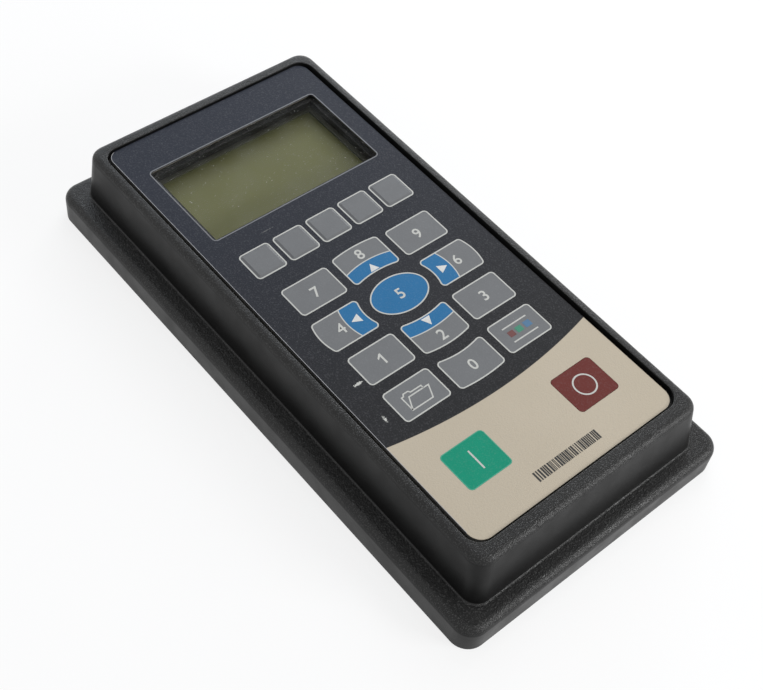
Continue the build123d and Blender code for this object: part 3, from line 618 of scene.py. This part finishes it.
START_BAR = bar(-19.41, -62.15, -18.91, -55.96)
STOP_CENTRE = (19.3, -59.14)
STOP_RADIUS = 3.42
STOP_LINE = 0.46
legends["key_start"].append(("pale", plate(START_BAR)))
legends["key_stop"].append(("pale", band(ellipse(*STOP_CENTRE, STOP_RADIUS, STOP_RADIUS), 0.0, STOP_LINE)))
print("symbols:", len(TRIANGLES) + 4)

# %% [markdown]
# ## Putting each key's print together
#
# Every key except stop has an outline. It runs a little over the key's edge, which hides the hair-wide cut round
# it. Start's is only a lighter green. Outline and legend are one piece that rides on the key's own body.

# %% Key print
OUTLINE_GROW = 0.07
START_OUTLINE_WIDTH = 0.25
for node_name, outline in OUTLINES.items():
    parts = legends[node_name]
    if node_name == "key_start":
        parts.append(("leaf", band(outline, OUTLINE_GROW, START_OUTLINE_WIDTH)))
    elif node_name != "key_stop":
        parts.append(("pale", band(outline, OUTLINE_GROW, LINE_WIDTH)))
    if parts:
        print_piece(node_name + "_print", node_name + "_body", parts)
print("print pieces:", len(OUTLINES))

# %% [markdown]
# ## Window border, painted edge glint and bar code
#
# A thin grey line frames the window. The film was cut from a clear sheet, and its bare edge catches the light all
# along the left side, so a hair-thin pale line is laid there as a painted highlight. At the foot of the face is a bar
# code. This one is made up: its bars' widths come from a seeded generator and spell nothing.

# %% Border and bars
def rounded_outline(x, y, across, along, corner, count=8):
    """Points round a rectangle with round corners: four quarter circles, each from its corner's own start angle."""
    turns = np.repeat(np.arange(4), count + 1)
    angle = (turns + np.tile(np.arange(count + 1), 4) / count) * np.pi / 2
    corner_x = np.where((turns == 0) | (turns == 3), 1, -1) * (across / 2 - corner)
    corner_y = np.where(turns < 2, 1, -1) * (along / 2 - corner)
    return np.column_stack([x + corner_x + corner * np.cos(angle), y + corner_y + corner * np.sin(angle)])


WINDOW_CORNER = 1.2
BORDER_GROW = 0.3
BORDER_WIDTH = 0.34
low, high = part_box("display_window")
window = [(low.x + high.x) / 2 / MM, (low.y + high.y) / 2 / MM, (high.x - low.x) / MM, (high.y - low.y) / MM]
border = band(rounded_outline(*window, WINDOW_CORNER), BORDER_GROW, BORDER_WIDTH)

# The pale line below is a painted highlight along the film's left edge.
GLINT_WIDTH = 0.14
GLINT_CORNER = 3.4
GLINT_END = 4.4
low, high = [np.array(corner.to_tuple()[:2]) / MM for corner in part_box("graphic_overlay")]
left = low[0] + GLINT_WIDTH / 2
turn = np.linspace(np.pi, np.pi * 0.6, 7)
corner_arc = np.column_stack([np.cos(turn), np.sin(turn)]) * (GLINT_CORNER - GLINT_WIDTH / 2)
corner_arc += (low[0] + GLINT_CORNER, high[1] - GLINT_CORNER)
edge_path = np.vstack([[(left, low[1] + GLINT_END)], corner_arc])
painted_edge_glint = plate(stroke(edge_path, GLINT_WIDTH)[::-1])

CODE_LEFT = -10.9
CODE_WIDTH = 22.1
CODE_FOOT = -73.4
CODE_HEAD = -70.4
CODE_BARS = 34
BAR_WIDTHS = (0.24, 0.4, 0.56)
GAP_WIDTHS = (0.18, 0.2, 0.4)
generator = np.random.default_rng(7)
bar_widths = generator.choice(BAR_WIDTHS, CODE_BARS)
gap_widths = generator.choice(GAP_WIDTHS, CODE_BARS)
widths = np.stack([bar_widths, gap_widths], axis=1).ravel()
widths *= CODE_WIDTH / widths.sum()
ends = CODE_LEFT + np.cumsum(widths)
bars = [("black", plate(bar(end - width, CODE_FOOT, end, CODE_HEAD)))
        for end, width in zip(ends[::2], widths[::2])]
print_piece("face_print", "housing", [("frame", border), ("glint", painted_edge_glint)] + bars)
print("bars:", len(bars))

# %% [markdown]
# ## Floor and light
#
# The object lies on a pale sheet in a white room. Light Path tells which rays come from the camera, from a mirror
# or through glass, and those see the room as white, while the light that falls on the object stays at a plain
# level. The sheet turns fully white away from the object, so that it ends in the room without an edge. Two soft
# lamps light the face. They leave no sheen on it, which three cards at the sides do.

# %% Studio
def seen_directly(tree):
    """1 for a ray from the camera, from a mirror or through glass, 0 for one that lights a surface."""
    path = add_node(tree, "ShaderNodeLightPath")
    kinds = [path.outputs[kind] for kind in ("Is Camera Ray", "Is Glossy Ray", "Is Transmission Ray")]
    return maths(tree, "MAXIMUM", maths(tree, "MAXIMUM", kinds[0], kinds[1]), kinds[2])


def floor_finish():
    """A pale sheet that keeps the object's shadow near it and turns white to the eye 0.9 m away."""
    material, tree, shader, coordinates = start_material("pale sheet", Roughness=0.9)
    slow = noise(tree, coordinates.outputs["Object"], 200.0)
    tree.links.new(blend(tree, slow, rgb(0.88, 0.88, 0.88), rgb(0.9, 0.9, 0.9)), shader.inputs["Base Color"])
    away = add_node(tree, "ShaderNodeVectorMath", {0: coordinates.outputs["Object"]}, operation="LENGTH")
    share = maths(tree, "MULTIPLY", seen_directly(tree), ramp(tree, away.outputs["Value"], 0.15, 0.9, 0.8, 1.0))
    glow = add_node(tree, "ShaderNodeEmission", {"Color": rgb(1, 1, 1), "Strength": 1.0})
    mixed = add_node(tree, "ShaderNodeMixShader", {0: share, 1: shader.outputs[0], 2: glow.outputs[0]})
    tree.links.new(mixed.outputs[0], tree.nodes["Material Output"].inputs["Surface"])
    return material


FLOOR_Z = -0.1 * MM
FLOOR_REACH = 2.0
FLOOR_POINTS = 21
floor_mesh = bpy.data.meshes.new("floor")
steps = np.linspace(-FLOOR_REACH, FLOOR_REACH, FLOOR_POINTS)
across, along = np.meshgrid(steps, steps, indexing="ij")
corners = np.stack([across, along, np.full_like(across, FLOOR_Z)], axis=-1).reshape(-1, 3)
index = np.arange(FLOOR_POINTS * FLOOR_POINTS).reshape(FLOOR_POINTS, FLOOR_POINTS)
quads = np.stack([index[:-1, :-1], index[1:, :-1], index[1:, 1:], index[:-1, 1:]], axis=-1).reshape(-1, 4)
floor_mesh.from_pydata(corners.tolist(), [], quads.tolist())
floor_mesh.materials.append(floor_finish())
floor = bpy.data.objects.new("floor", floor_mesh)
bpy.context.scene.collection.objects.link(floor)

world = bpy.data.worlds.new("room")
world.use_nodes = True
bpy.context.scene.world = world
sky = world.node_tree
room = add_node(sky, "ShaderNodeBackground", {"Color": rgb(0.95, 0.97, 1.0), "Strength": 0.33})
white = add_node(sky, "ShaderNodeBackground", {"Color": rgb(1, 1, 1), "Strength": 1.0})
either = add_node(sky, "ShaderNodeMixShader", {0: seen_directly(sky), 1: room.outputs[0], 2: white.outputs[0]})
sky.links.new(either.outputs[0], sky.nodes["World Output"].inputs["Surface"])


def lamp(name, place, aim, size, power, colour=(1.0, 1.0, 1.0), mirrored=True):
    """A square soft lamp at a place, turned so that it faces a point. One that isn't mirrored leaves no sheen."""
    data = bpy.data.lights.new(name, "AREA")
    data.shape = "RECTANGLE"
    data.size, data.size_y = size
    data.energy = power
    data.color = colour
    made = bpy.data.objects.new(name, data)
    made.location = place
    made.rotation_euler = (Vector(aim) - Vector(place)).to_track_quat("-Z", "Y").to_euler()
    made.visible_glossy = mirrored
    bpy.context.scene.collection.objects.link(made)
    return made


lamp("window", (0.45, 0.3, 0.65), (0.0, 0.0, 0.02), (0.5, 0.5), 2.7, (0.97, 0.98, 1.0), mirrored=False)
lamp("overhead", (-0.15, -0.1, 0.9), (0.0, 0.0, 0.0), (0.8, 0.8), 1.8, mirrored=False)
lamp("near card", (0.36, -0.62, 0.34), (0.0, 0.0, 0.02), (0.3, 0.2), 3.4)
lamp("far sky", (0.3, 0.8, 0.45), (0.0, 0.05, 0.02), (0.6, 0.4), 1.15, (0.72, 0.85, 1.0))
lamp("right card", (0.7, 0.5, 0.32), (0.0, 0.0, 0.02), (0.35, 0.15), 1.8, (0.93, 0.96, 1.0))
print("lamps: 5")

# %% [markdown]
# ## Finish
#
# The view layer is brought up to date, so that every piece stands where it was put.

# %% Update
bpy.context.view_layer.update()
